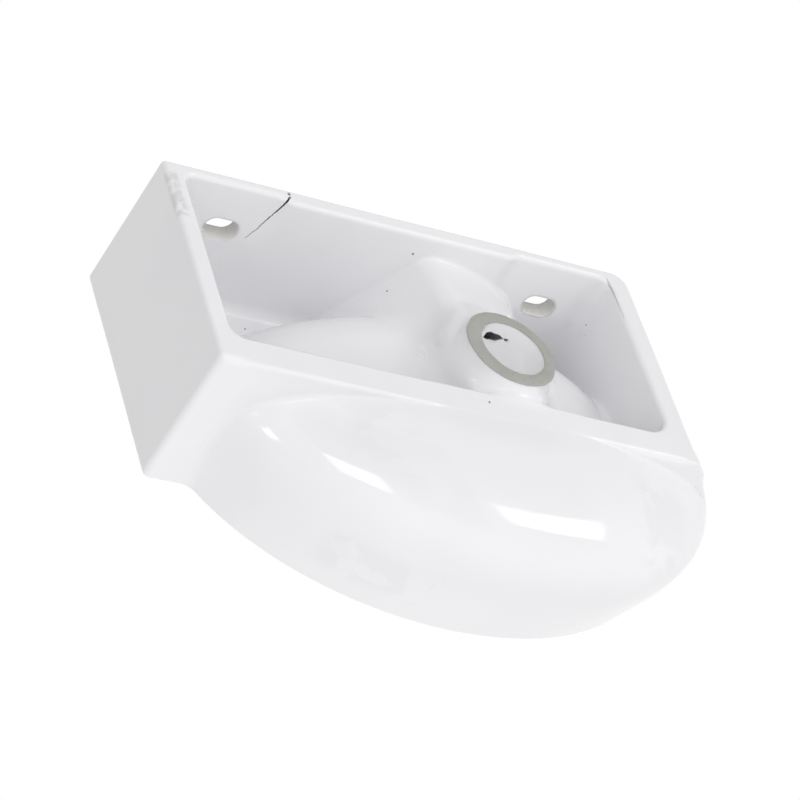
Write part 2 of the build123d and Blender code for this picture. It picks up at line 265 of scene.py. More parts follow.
@dataclass
class BasinShape:
    """Distance formula of the whole casting, in millimetres.

    A sweep or join is a radius and what it gains over a fade. A pair named for where a fade goes is its start
    and its run.
    """

    left_x: float = -178.0
    right_x: float = 182.0
    front_y: float = -180.0
    foot_z: float = -35.0
    ledge_z: float = 63.0
    rim_z: float = 75.0
    small_edge: float = 1.0
    left_back_corner: float = 13.0
    left_back_from_y: float = -90.0
    past_front: float = 60.0
    foot_edge: float = 3.2
    rim_edge: float = 4.5
    sweep: tuple = (2.0, 27.0)
    sweep_rise: float = 9.0
    flare_to_left: tuple = (-164.0, -16.0)
    flare_to_front: tuple = (-125.0, -40.0)
    front_edge: float = 2.6
    front_edge_growths: tuple = ((3.0, 150.0, 20.0), (2.2, -30.0, -50.0), (-3.4, -162.0, -14.0))
    skin_drop: float = 3.5
    skin_drop_to_front: tuple = (-177.0, -36.0)
    skin_low_edge: float = 3.0
    skin_join: tuple = (1.6, 1.8)
    skin_join_to_right: tuple = (40.0, 80.0)
    skin_join_up: tuple = (-1.0, 7.0)
    beside_case_to_left: tuple = (-181.0, -7.0)
    cavity_low: tuple = (-162.0, -156.0)
    cavity_high: tuple = (168.0, -13.0)
    cavity_corner: float = 10.0
    cavity_left_front_corner: float = 18.0
    left_front_to_y: float = -80.0
    cavity_ceiling_fillet: float = 9.0
    foot_inner_edge: float = 3.4
    panel_relief: float = 4.0
    panel_height: float = 40.0
    left_panel_to_right: tuple = (-91.0, 12.0)
    right_panel_to_right: tuple = (86.0, 12.0)
    panel_to_back: tuple = (-100.0, 60.0)
    pocket_top: float = 58.0
    pocket_past_cavity: float = 6.0
    pocket_edge: float = 2.0
    pocket_join: float = 3.0
    boss_room: float = 57.0
    boss_room_edge: float = 6.0
    boss: tuple = (-43.0, -118.0)
    boss_radius: float = 33.2
    boss_end_z: float = -42.7
    boss_widening: float = 5.0
    boss_widening_rise: float = 22.0
    seat_edge: float = 0.7
    bowl_inside_left: float = 9.0
    bowl_inside_front_y: float = -170.0
    front_bowl_from_y: float = -142.0
    duct_join: float = 12.0
    boss_join: tuple = (10.0, 15.0)
    boss_join_rise: float = 16.0
    wall_join: tuple = (4.0, 4.0)
    wall_join_to_front: tuple = (-60.0, -60.0)
    near_boss_join: tuple = (4.0, 10.0)
    near_boss_join_up: tuple = (-1.0, 10.0)
    near_boss_inward: tuple = (82.0, -30.0)
    waste: tuple = (-45.0, -117.0)
    bore_radius: float = 23.0
    bore_edge: float = 0.8
    recess_radius: float = 32.0
    recess_low_z: float = 0.5
    recess_high_z: float = 8.0
    recess_fillet: float = 1.5
    recess_edge: float = 2.0
    slot_x: float = 124.0
    slot_half_straight: float = 4.5
    slot_radius: float = 8.0
    slot_front_y: float = -30.0
    tap: tuple = (132.0, -42.0)
    tap_radius: float = 17.5
    tap_low_z: float = 40.0
    tap_edge: float = 1.6
    glaze_allowance: float = 0.2
    sag: float = 0.15
    sag_waves: tuple = ((29.0, 0.7), (23.0, 1.9), (31.0, 0.4))
    belly: BowlForm = BELLY
    pocket: BowlForm = POCKET
    dish: BowlForm = DISH
    hollow: BowlForm = HOLLOW
    duct: DuctForm = DuctForm()
    overflow: OverflowWay = OverflowWay()

    def block(self, x: Array, y: Array, z: Array) -> Array:
        """Outer block of the case, open above, whose left side sweeps out into the belly at the front."""
        at_left_back = (x < 0.0) & (y > self.left_back_from_y)
        corner = np.where(at_left_back, self.left_back_corner, self.small_edge)
        low = (self.left_x, self.front_y - self.past_front)
        plan = plan_box(x, y, low, (self.right_x, 0.0), corner)
        long = round_common(plan, self.foot_z - z, self.foot_edge)
        flare = fade(x, *self.flare_to_left) * fade(y, *self.flare_to_front)
        sweep = grown(self.sweep, flare) * fade(z, self.foot_z, self.sweep_rise)
        swept = round_join(long, self.skin(x, y, z), sweep)
        front_edge = self.front_edge
        for growth, start, run in self.front_edge_growths:
            front_edge = front_edge + growth * fade(x, start, run)
        return round_common(swept, self.front_y - y, front_edge)

    def skin(self, x: Array, y: Array, z: Array) -> Array:
        """Belly, kept level with the foot where it runs in under the case."""
        drop = self.skin_drop * fade(y, *self.skin_drop_to_front)
        return round_common(self.belly.distance(x, y, z), self.foot_z - drop - z, self.skin_low_edge)

    def cavity(self, x: Array, y: Array, z: Array) -> Array:
        """Hollow underneath the case, deeper at the foot behind the two fixing panels."""
        web = fade(x, *self.left_panel_to_right) * (1.0 - fade(x, *self.right_panel_to_right))
        thin = np.clip(1.0 - (z - self.foot_z) / self.panel_height, 0.0, 1.0)
        relief = self.panel_relief * thin * (1.0 - web)
        at_left_front = (x < 0.0) & (y < self.left_front_to_y)
        corner = np.where(at_left_front, self.cavity_left_front_corner, self.cavity_corner)
        moved_y = y - relief * fade(y, *self.panel_to_back)
        plan = plan_box(x, moved_y, self.cavity_low, self.cavity_high, corner)
        return round_common(plan, z - self.ledge_z, self.cavity_ceiling_fillet)

    def belly_pocket(self, x: Array, y: Array, z: Array) -> Array:
        """Room between the belly's skin and the bowl's floor, which opens into the case."""
        room = round_common(self.pocket.distance(x, y, z), z - self.pocket_top, self.pocket_edge)
        room = round_common(room, y - self.cavity_low[1] - self.pocket_past_cavity, self.pocket_edge)
        return round_common(room, self.boss_room - self.off_boss(x, y), self.boss_room_edge)

    def off_boss(self, x: Array, y: Array) -> Array:
        """Distance in plan from the boss's middle."""
        return np.hypot(x - self.boss[0], y - self.boss[1])

    def boss_form(self, x: Array, y: Array, z: Array) -> Array:
        """Outlet boss: a short upright neck that runs up to the bowl's floor."""
        widening = self.boss_widening * fade(z, self.boss_end_z, self.boss_widening_rise)
        side = self.off_boss(x, y) - self.boss_radius - widening
        neck = round_common(side, self.boss_end_z - z, self.seat_edge)
        return round_common(neck, z, self.small_edge)

    def shell(self, x: Array, y: Array, z: Array) -> Array:
        """Case and belly, hollow underneath.

        The join's radius falls to nought at the foot and beside the case, where the block and the skin run
        together, because a fillet would stand out of them there.
        """
        radius = grown(self.skin_join, fade(x, *self.skin_join_to_right))
        radius = radius * (1.0 - fade(x, *self.beside_case_to_left))
        radius = radius * fade(z - self.foot_z, *self.skin_join_up)
        body = round_join(self.block(x, y, z), self.skin(x, y, z), radius)
        under = round_join(self.cavity(x, y, z), self.belly_pocket(x, y, z), self.pocket_join)
        return round_cut(body, under, self.foot_inner_edge)

    def add_bowl(self, body: Array, x: Array, y: Array, z: Array) -> Array:
        """Joins the bowl, duct and boss to the shell, with wider fillets in front and round the boss."""
        dish = self.dish.distance(x, y, z)
        inner = np.maximum(dish, self.left_x + self.bowl_inside_left - x)
        inner = np.maximum(inner, self.bowl_inside_front_y - y)
        inner = round_join(inner, self.duct.distance(x, y, z), self.duct_join)
        flank = grown(self.boss_join, fade(z, self.boss_end_z, self.boss_join_rise))
        inner = round_join(inner, self.boss_form(x, y, z), flank)
        inner = round_common(inner, self.boss_end_z - z, self.seat_edge)
        web = grown(self.near_boss_join, fade(z - self.foot_z, *self.near_boss_join_up))
        web = web * fade(self.off_boss(x, y), *self.near_boss_inward)
        fillet = grown(self.wall_join, fade(y, *self.wall_join_to_front)) + web
        return np.minimum(round_join(body, inner, fillet), np.maximum(dish, y - self.front_bowl_from_y))

    def cut_water_side(self, body: Array, x: Array, y: Array, z: Array) -> Array:
        """Cuts out the bowl's hollow, the recess for the waste's flange, the bore and the overflow."""
        body = round_common(body, z - self.rim_z, self.rim_edge)
        body = round_cut(body, self.hollow.distance(x, y, z), self.rim_edge)
        off_waste = np.hypot(x - self.waste[0], y - self.waste[1])
        recess = round_common(off_waste - self.recess_radius, self.recess_low_z - z, self.recess_fillet)
        recess = round_common(recess, z - self.recess_high_z, self.small_edge)
        body = round_cut(body, recess, self.recess_edge)
        body = round_cut(body, off_waste - self.bore_radius, self.bore_edge)
        return round_cut(body, self.overflow.distance(x, y, z), self.small_edge)

    def cut_fixings(self, body: Array, x: Array, y: Array, z: Array) -> Array:
        """Cuts out the two fixing slots and the tap hole."""
        for side in (-self.slot_x, self.slot_x):
            along = np.maximum(slab(x, side, self.slot_half_straight), 0.0)
            slot = np.hypot(along, z) - self.slot_radius
            slot = round_common(slot, self.slot_front_y - y, self.small_edge)
            body = round_cut(body, slot, self.small_edge)
        tap = np.hypot(x - self.tap[0], y - self.tap[1]) - self.tap_radius
        tap = round_common(tap, self.tap_low_z - z, self.small_edge)
        return round_cut(body, tap, self.tap_edge)

    def distance(self, x: Array, y: Array, z: Array) -> Array:
        """Distance to the whole casting, negative inside it, with a faint sag of the kiln in it."""
        body = self.add_bowl(self.shell(x, y, z), x, y, z)
        body = self.cut_fixings(self.cut_water_side(body, x, y, z), x, y, z)
        waves = [place / wide + start for place, (wide, start) in zip((x, y, z), self.sag_waves)]
        sag = self.sag * np.sin(waves[0]) * np.sin(waves[1]) * np.cos(waves[2])
        return body + self.glaze_allowance + sag


# Meshing


def graded_axis(low: float, high: float, coarse: float, fine: float, zones: tuple) -> Array:
    """Grid lines along one axis, close together in the zones and wider between them.

    The formula: the number of lines is the running sum of one over the wanted spacing, and the lines stand
    where that sum passes whole numbers.
    """
    steps = np.linspace(low, high, AXIS_SAMPLES)
    spacing = np.full_like(steps, coarse)
    for start, end in zones:
        spacing = np.where((steps > start) & (steps < end), fine, spacing)
    kernel = np.hanning(2 * AXIS_BLEND + 1)
    padded = np.pad(spacing, AXIS_BLEND, mode="edge")
    spacing = np.convolve(padded, kernel / kernel.sum(), mode="valid")
    count = np.concatenate([[0.0], np.cumsum((steps[1] - steps[0]) / spacing[:-1])])
    lines = int(np.ceil(count[-1]))
    return np.interp(np.linspace(0.0, count[-1], lines + 1), count, steps)


CORNERS = np.array([(i, j, k) for i in (0, 1) for j in (0, 1) for k in (0, 1)])
EDGES = np.array(
    [(a, b) for a in range(8) for b in range(a + 1, 8) if np.abs(CORNERS[a] - CORNERS[b]).sum() == 1]
)


def level_surface(values: Array, axes: tuple) -> tuple:
    """Surface where a grid of distances passes through nought, as points and four-sided faces.

    The formula: each grid cell that the surface crosses gets one point, the mean of where its twelve edges
    are crossed, and each crossed grid edge gets the face between the four cells round it.
    """
    inside = values < 0.0
    total = np.zeros(tuple(n - 1 for n in values.shape), dtype=np.int8)
    for i, j, k in CORNERS:
        total += inside[i : i + total.shape[0], j : j + total.shape[1], k : k + total.shape[2]]
    cells = np.argwhere((total > 0) & (total < 8))
    number = np.full(total.shape, -1, dtype=np.int64)
    number[tuple(cells.T)] = np.arange(len(cells))
    corner_index = cells[:, None, :] + CORNERS[None]
    corner_value = values[tuple(np.moveaxis(corner_index, 2, 0))]
    corner_point = np.stack([axes[a][corner_index[..., a]] for a in range(3)], axis=2)
    value_a, value_b = corner_value[:, EDGES[:, 0]], corner_value[:, EDGES[:, 1]]
    crossed = (value_a < 0.0) != (value_b < 0.0)
    share = np.where(crossed, value_a / np.where(crossed, value_a - value_b, 1.0), 0.0)[..., None]
    point_a, point_b = corner_point[:, EDGES[:, 0]], corner_point[:, EDGES[:, 1]]
    weight = crossed[..., None]
    points = ((point_a + (point_b - point_a) * share) * weight).sum(axis=1) / weight.sum(axis=1)
    faces = []
    for axis in range(3):
        one, two = (axis + 1) % 3, (axis + 2) % 3
        low = [slice(None)] * 3
        high = [slice(None)] * 3
        low[axis], high[axis] = slice(None, -1), slice(1, None)
        start, end = inside[tuple(low)], inside[tuple(high)]
        change = np.argwhere(start != end)
        keep = (change[:, one] > 0) & (change[:, two] > 0)
        keep &= (change[:, one] < values.shape[one] - 1) & (change[:, two] < values.shape[two] - 1)
        change = change[keep]
        leaving = start[tuple(change.T)]
        ring = []
        for step_one, step_two in ((-1, -1), (0, -1), (0, 0), (-1, 0)):
            cell = change.copy()
            cell[:, one] += step_one
            cell[:, two] += step_two
            ring.append(number[tuple(cell.T)])
        quads = np.stack(ring, axis=1)
        quads[~leaving] = quads[~leaving][:, ::-1]
        faces.append(quads)
    return points, np.concatenate(faces)


def slopes(shape: BasinShape, points: Array, step: float = 0.05) -> tuple:
    """Distance and outward direction at points, from the distances a small step to each side."""
    directions = []
    for axis in range(3):
        ahead, behind = points.copy(), points.copy()
        ahead[:, axis] += step
        behind[:, axis] -= step
        directions.append((shape.distance(*ahead.T) - shape.distance(*behind.T)) / (2 * step))
    slope = np.stack(directions, axis=1)
    return shape.distance(*points.T), slope


def settle(shape: BasinShape, points: Array, limit: float, rounds: int = 3) -> Array:
    """Moves points onto the surface along its slope, each time by distance over slope squared."""
    for _ in range(rounds):
        distance, slope = slopes(shape, points)
        size = np.maximum((slope**2).sum(axis=1), SLOPE_FLOOR)
        move = -slope * (distance / size)[:, None]
        length = np.linalg.norm(move, axis=1, keepdims=True)
        points = points + move * np.minimum(1.0, limit / np.maximum(length, TINY))
    return points


def mesh_object(name: str, points: Array, faces: Array, smooth: bool = True) -> bpy.types.Object:
    """Object at the origin from points in millimetres and an array of faces."""
    mesh = bpy.data.meshes.new(name)
    mesh.from_pydata((points * MM).tolist(), [], faces.tolist())
    mesh.polygons.foreach_set("use_smooth", np.full(len(mesh.polygons), smooth))
    mesh.update()
    built = bpy.data.objects.new(name, mesh)
    bpy.context.scene.collection.objects.link(built)
    return built


def closed_tube(points: Array) -> Array:
    """Faces of a grid of points that closes both round its rows and round its columns.

    Args:
        points: Grid of points, rows by columns by three, ordered so that rows turned into columns point out.

    Returns:
        Four-sided faces as point numbers.
    """
    rows, columns = points.shape[:2]
    number = np.arange(rows * columns).reshape(rows, columns)
    right, below = np.roll(number, -1, axis=1), np.roll(number, -1, axis=0)
    corner = np.roll(right, -1, axis=0)
    return np.stack([number, right, corner, below], axis=2).reshape(-1, 4)


def capped_tube(points: Array) -> tuple:
    """Faces of a tube of rings, closed at both ends by a fan round the middle of its end ring.

    Args:
        points: Rings of points, rings by points by three.

    Returns:
        All points with the two middles added last, and three-sided faces as point numbers.
    """
    rings, around = points.shape[:2]
    number = np.arange(rings * around).reshape(rings, around)
    here, ahead = number[:-1], number[1:]
    here_next, ahead_next = np.roll(here, -1, axis=1), np.roll(ahead, -1, axis=1)
    one = np.stack([here, here_next, ahead_next], axis=2).reshape(-1, 3)
    two = np.stack([here, ahead_next, ahead], axis=2).reshape(-1, 3)
    start, end = rings * around, rings * around + 1
    first, last = number[0], number[-1]
    fan_start = np.stack([np.full(around, start), np.roll(first, -1), first], axis=1)
    fan_end = np.stack([np.full(around, end), last, np.roll(last, -1)], axis=1)
    middles = np.stack([points[0].mean(axis=0), points[-1].mean(axis=0)])
    return np.concatenate([points.reshape(-1, 3), middles]), np.concatenate([one, two, fan_start, fan_end])


def wander(along: Array, size: float, seed: int, waves: int = 7) -> Array:
    """Uneven line round nought that closes on itself as the share along it runs from 0 to 1.

    The formula: a sum of sines of rising count with random phases, each weaker than the last.
    """
    random = np.random.default_rng(seed)
    counts = np.arange(2, 2 + waves)[:, None]
    phases = random.uniform(0.0, 2 * np.pi, (waves, 1))
    weights = random.uniform(0.4, 1.0, (waves, 1)) / np.sqrt(counts)
    total = (weights * np.sin(2 * np.pi * counts * along[None, :] + phases)).sum(axis=0)
    return size * total / weights.sum()


# Finishes


class Slot(Enum):
    """Material slots of the record."""

    GLAZED = "glazed_china"
    GROUND = "ground_china"


class Sheet:
    """Shader of one finish, with its patterns laid out in the basin's own metres."""

    def __init__(self, name: str) -> None:
        """Starts an empty material and reads Object coordinates."""
        self.material = bpy.data.materials.new(name)
        self.material.use_nodes = True
        self.nodes = self.material.node_tree.nodes
        self.links = self.material.node_tree.links
        self.shader = self.nodes["Principled BSDF"]
        self.place = self.nodes.new("ShaderNodeTexCoord").outputs["Object"]
        self.axes = self.nodes.new("ShaderNodeSeparateXYZ")
        self.links.new(self.place, self.axes.inputs[0])

    def noise(self, scale: float, detail: float = 2.0, warp: float = 0.0) -> Socket:
        """Cloudy pattern with about this many waves to the metre."""
        node = self.nodes.new("ShaderNodeTexNoise")
        node.inputs["Scale"].default_value = scale
        node.inputs["Detail"].default_value = detail
        node.inputs["Distortion"].default_value = warp
        self.links.new(self.place, node.inputs["Vector"])
        return node.outputs["Fac"]

    def spread(self, value: Socket, source: tuple, target: tuple = (0.0, 1.0)) -> Socket:
        """Eases a value from one range to another and holds it at the ends."""
        node = self.nodes.new("ShaderNodeMapRange")
        node.interpolation_type = "SMOOTHSTEP"
        for name, number in zip(("From Min", "From Max", "To Min", "To Max"), (*source, *target)):
            node.inputs[name].default_value = number
        self.links.new(value, node.inputs["Value"])
        return node.outputs["Result"]

    def times(self, one: Socket, other: Socket) -> Socket:
        """Product of two values."""
        node = self.nodes.new("ShaderNodeMath")
        node.operation = "MULTIPLY"
        self.links.new(one, node.inputs[0])
        self.links.new(other, node.inputs[1])
        return node.outputs[0]

    def within(self, low: tuple, high: tuple, soft: float) -> Socket:
        """One inside a box given in metres and nought outside it, with a soft border."""
        inside = None
        for axis, (start, end) in enumerate(zip(low, high)):
            place = self.axes.outputs[axis]
            rise = self.spread(place, (start - soft, start + soft))
            fall = self.spread(place, (end - soft, end + soft), (1.0, 0.0))
            both = self.times(rise, fall)
            inside = both if inside is None else self.times(inside, both)
        return inside

    def blend(self, share: Socket, low: Socket | tuple, high: Socket | tuple) -> Socket:
        """Colour between two others, each a socket or a plain colour.

        Args:
            share: 0 for the first colour, 1 for the second.
            low: First colour.
            high: Second colour.

        Returns:
            The mixed colour.
        """
        node = self.nodes.new("ShaderNodeMix")
        node.data_type = "RGBA"
        self.links.new(share, node.inputs["Factor"])
        for socket, colour in ((node.inputs[6], low), (node.inputs[7], high)):
            if isinstance(colour, tuple):
                socket.default_value = (*colour, 1.0)
            else:
                self.links.new(colour, socket)
        return node.outputs[2]

    def relief(self, layers: tuple) -> None:
        """Adds one bump after another: pairs of a height pattern and its depth in metres."""
        normal = None
        for height, depth in layers:
            node = self.nodes.new("ShaderNodeBump")
            node.inputs["Strength"].default_value = 1.0
            node.inputs["Distance"].default_value = depth
            self.links.new(height, node.inputs["Height"])
            if normal is not None:
                self.links.new(normal, node.inputs["Normal"])
            normal = node.outputs["Normal"]
        self.links.new(normal, self.shader.inputs["Normal"])

    def finish(self, colour: Socket, roughness: Socket) -> bpy.types.Material:
        """Puts the colour and the roughness on the shader."""
        self.links.new(colour, self.shader.inputs["Base Color"])
        self.links.new(roughness, self.shader.inputs["Roughness"])
        return self.material


@dataclass(frozen=True)
class WhiteGlaze:
    """Cool white glaze over china: glossy and a little wavy, with faint painted shade in patches on the belly
    and one worn strip.
    """

    pale: tuple = (0.912, 0.909, 0.926)
    deep: tuple = (0.888, 0.884, 0.903)
    # Colour of the painted shade: darker lavender patches on the belly near its edges.
    painted_shade: tuple = (0.835, 0.830, 0.852)
    worn: tuple = (0.760, 0.755, 0.760)
    border: tuple = (0.35, 0.65)
    wide_border: tuple = (0.3, 0.7)
    cloud_scale: float = 9.0
    painted_shade_scale: float = 31.0
    painted_shade_warp: float = 0.6
    painted_shade_border: tuple = (0.45, 0.55)
    painted_shade_strength: float = 0.50
    painted_shade_softness: float = 0.008
    worn_scale: float = 160.0
    worn_border: tuple = (0.36, 0.50)
    strip_softness: float = 0.0014
    polish_scale: float = 22.0
    wave_scale: float = 38.0
    wave_depth: float = 0.00012
    peel_scale: float = 260.0
    peel_depth: float = 0.000012
    polish: tuple = (0.055, 0.115)
    worn_roughness: float = 0.5
    strip_low: tuple = (0.1745, -0.052, -0.05)
    strip_high: tuple = (0.19, -0.012, -0.0305)
    # Boxes in metres where the painted shade darkens the belly, near its outline and its front crease.
    painted_shade_zones: tuple = (
        ((0.015, -0.30, 0.018), (0.090, -0.235, 0.055)),
        ((0.045, -0.26, -0.036), (0.115, -0.18, -0.020)),
        ((-0.165, -0.26, -0.035), (-0.120, -0.20, 0.005)),
    )

    def material(self) -> bpy.types.Material:
        """Glaze whose painted shade shows as patches only in its zones on the belly, and whose worn strip has
        a broken border.
        """
        sheet = Sheet("white_glaze")
        clouds = sheet.spread(sheet.noise(self.cloud_scale, 3.0), self.border)
        colour = sheet.blend(clouds, self.deep, self.pale)
        # Painted shade: mottled darker patches, laid only in the zones on the belly where it turns from the
        # light.
        shade_mottle = sheet.noise(self.painted_shade_scale, 4.0, self.painted_shade_warp)
        shade_patches = sheet.spread(shade_mottle, self.painted_shade_border, (0.0, self.painted_shade_strength))
        for low, high in self.painted_shade_zones:
            shade_zone = sheet.within(low, high, self.painted_shade_softness)
            colour = sheet.blend(sheet.times(shade_patches, shade_zone), colour, self.painted_shade)
        broken = sheet.spread(sheet.noise(self.worn_scale, 4.0), self.worn_border)
        strip = sheet.times(sheet.within(self.strip_low, self.strip_high, self.strip_softness), broken)
        colour = sheet.blend(strip, colour, self.worn)
        gloss = sheet.spread(sheet.noise(self.polish_scale, 3.0), self.wide_border, self.polish)
        rough = sheet.blend(strip, gloss, (self.worn_roughness,) * 3)
        waves = sheet.noise(self.wave_scale, 1.0)
        peel = sheet.noise(self.peel_scale, 1.0)
        sheet.relief(((waves, self.wave_depth), (peel, self.peel_depth)))
        return sheet.finish(colour, rough)


@dataclass(frozen=True)
class BareChina:
    """Bare fired china, ground flat: matt, grainy and a little stained."""

    name: str
    pale: tuple
    deep: tuple
    speck: tuple
    grain_scale: float = 900.0
    grain_depth: float = 0.00006
    roughness: tuple = (0.55, 0.8)
    stain_scale: float = 55.0
    stain_border: tuple = (0.35, 0.65)
    speck_scale: float = 420.0
    speck_border: tuple = (0.64, 0.70)
    speck_strength: float = 0.7
    pit_scale: float = 210.0
    grain_border: tuple = (0.3, 0.7)

    def material(self) -> bpy.types.Material:
        """China with broad stains, fine grain and a few darker specks."""
        sheet = Sheet(self.name)
        stain = sheet.spread(sheet.noise(self.stain_scale, 4.0), self.stain_border)
        colour = sheet.blend(stain, self.deep, self.pale)
        grain = sheet.noise(self.grain_scale, 3.0)
        specks = sheet.spread(sheet.noise(self.speck_scale), self.speck_border, (0.0, self.speck_strength))
        colour = sheet.blend(specks, colour, self.speck)
        sheet.relief(((sheet.noise(self.pit_scale), 2 * self.grain_depth), (grain, self.grain_depth)))
        return sheet.finish(colour, sheet.spread(grain, self.grain_border, self.roughness))


SEAT_CHINA = BareChina("ground_seat", (0.435, 0.432, 0.405), (0.400, 0.397, 0.370), (0.31, 0.30, 0.28))
LIP_CHINA = BareChina(
    "thin_glaze_lip",
    (0.80, 0.79, 0.765),
    (0.72, 0.71, 0.675),
    (0.50, 0.48, 0.44),
    grain_scale=500.0,
    grain_depth=0.00003,
    roughness=(0.3, 0.55),
)
CRACK_DIRT = BareChina("crack_dirt", (0.030, 0.022, 0.018), (0.012, 0.009, 0.008), (0.09, 0.06, 0.04))
SPECK_DIRT = BareChina("speck_dirt", (0.34, 0.31, 0.29), (0.20, 0.18, 0.17), (0.10, 0.085, 0.075))
STAIN_DIRT = BareChina("edge_stain", (0.62, 0.61, 0.59), (0.48, 0.47, 0.45), (0.34, 0.32, 0.30))


# Sub-assemblies


GLAZED_NODES = (
    *("bowl_floor", "bowl_back_right", "bowl_back_left", "bowl_front_right", "bowl_front_left"),
    *("belly_right", "belly_left", "belly_side", "tap_landing", "left_ledge", "front_ledge"),
    *("back_wall", "right_side_wall", "left_side_wall", "front_apron_right", "front_apron_left"),
    *("waste_boss", "overflow_duct"),
)


def dress(piece: bpy.types.Object, finish: bpy.types.Material, slot: Slot, *nodes: str) -> bpy.types.Object:
    """Gives a piece its finish and the body that it rides on, hides the nodes that it stands for and logs its
    record slot.

    Args:
        piece: The finished piece.
        finish: Its material.
        slot: The record's slot.
        nodes: Names of the nodes that it replaces.

    Returns:
        The same piece.
    """
    piece.data.materials.clear()
    piece.data.materials.append(finish)
    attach(piece, "root")
    if nodes:
        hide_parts(*nodes)
    log.info("%s: %d faces, %s", piece.name, len(piece.data.polygons), slot.value)
    return piece


@dataclass
class GlazedCasting:
    """The glazed surface of the whole casting, inside and out."""

    shape: BasinShape
    triangles: int = 185000
    spacing: tuple = (2.6, 1.4)
    quick_spacing: tuple = (5.0, 2.6)
    zones_x: tuple = ((-186.0, -158.0), (-138.0, -108.0), (108.0, 138.0), (163.0, 186.0), (-92.0, 4.0))
    zones_y: tuple = ((-188.0, -174.0), (-160.0, -82.0), (-16.0, 2.0))
    zones_z: tuple = ((-46.0, -22.0), (-12.0, 12.0), (60.0, 80.0))
    reach_x: tuple = (-232.0, 190.0)
    reach_y: tuple = (-294.0, 6.0)
    reach_z: tuple = (-50.0, 82.0)
    last_move: float = 1.0

    def build(self) -> bpy.types.Object:
        """Meshes the distance formula, thins the mesh and dresses it in glaze."""
        coarse, fine = self.spacing
        spans = ((self.reach_x, self.zones_x), (self.reach_y, self.zones_y), (self.reach_z, self.zones_z))
        axes = tuple(graded_axis(*reach, coarse, fine, zones) for reach, zones in spans)
        values = self.shape.distance(axes[0][:, None, None], axes[1][None, :, None], axes[2][None, None, :])
        points, faces = level_surface(values, axes)
        log.info("casting: grid %s, %d faces", values.shape, len(faces))
        skin = mesh_object("basin_glaze", settle(self.shape, points, coarse), faces)
        self.thin(skin, self.triangles / (2.0 * len(faces)))
        self.finish_normals(skin.data)
        return dress(skin, WhiteGlaze().material(), Slot.GLAZED, *GLAZED_NODES)

    def thin(self, skin: bpy.types.Object, share: float) -> None:
        """Thins the mesh to a share of its triangles, where that is under one."""
        if share >= 1.0:
            return
        decimate = skin.modifiers.new("thin", "DECIMATE")
        decimate.ratio = share
        evaluated = skin.evaluated_get(bpy.context.evaluated_depsgraph_get())
        thinned = bpy.data.meshes.new_from_object(evaluated)
        skin.modifiers.clear()
        skin.data = thinned
        thinned.name = skin.name

    def finish_normals(self, mesh: bpy.types.Mesh) -> None:
        """Settles the thinned points onto the surface and sets the formula's directions as normals."""
        flat = np.empty(len(mesh.vertices) * 3)
        mesh.vertices.foreach_get("co", flat)
        points = settle(self.shape, flat.reshape(-1, 3) / MM, self.last_move, rounds=2)
        mesh.vertices.foreach_set("co", (points * MM).ravel())
        _, slope = slopes(self.shape, points)
        normal = slope / np.maximum(np.linalg.norm(slope, axis=1, keepdims=True), TINY)
        mesh.polygons.foreach_set("use_smooth", np.full(len(mesh.polygons), True))
        mesh.update()
        mesh.normals_split_custom_set_from_vertices(normal.tolist())


@dataclass
class OutletSeat:
    """Ring round the outlet, ground flat and left bare, with a slightly uneven border."""

    shape: BasinShape
    outer_radius: float = 32.6
    inner_radius: float = 23.2
    low_z: float = -43.0
    high_z: float = -42.3
    outer_rag: float = 0.55
    outer_waves: int = 14
    inner_rag: float = 0.45
    inner_waves: int = 12
    around: int = 256
    seed: int = 11
    profile: tuple = (
        *((0.0, 1.0), (0.0, 0.3), (0.03, 0.0), (0.35, 0.0)),
        *((0.65, 0.0), (0.97, 0.0), (1.0, 0.3), (1.0, 1.0)),
    )

    def build(self) -> bpy.types.Object:
        """Carries a flat box-like profile round the outlet, wandering a little at both borders.

        Each pair of the profile is the share of the way out from the bore and the share of the height.
        """
        share = np.arange(self.around) / self.around
        angle = 2 * np.pi * share
        outer = self.outer_radius + wander(share, self.outer_rag, self.seed, self.outer_waves)
        inner = self.inner_radius + wander(share, self.inner_rag, self.seed + 1, self.inner_waves)
        turn = np.stack([np.cos(angle), np.sin(angle)], axis=1)
        outside = np.array(self.shape.boss) + turn * outer[:, None]
        inside = np.array(self.shape.waste) + turn * inner[:, None]
        rows = []
        for reach, height in self.profile:
            plan = inside + (outside - inside) * reach
            z = np.full(self.around, self.low_z + (self.high_z - self.low_z) * height)
            rows.append(np.column_stack([plan, z]))
        grid = np.stack(rows)[:, ::-1]
        seat = mesh_object("outlet_seat", grid.reshape(-1, 3), closed_tube(grid))
        return dress(seat, SEAT_CHINA.material(), Slot.GROUND, "waste_seat")


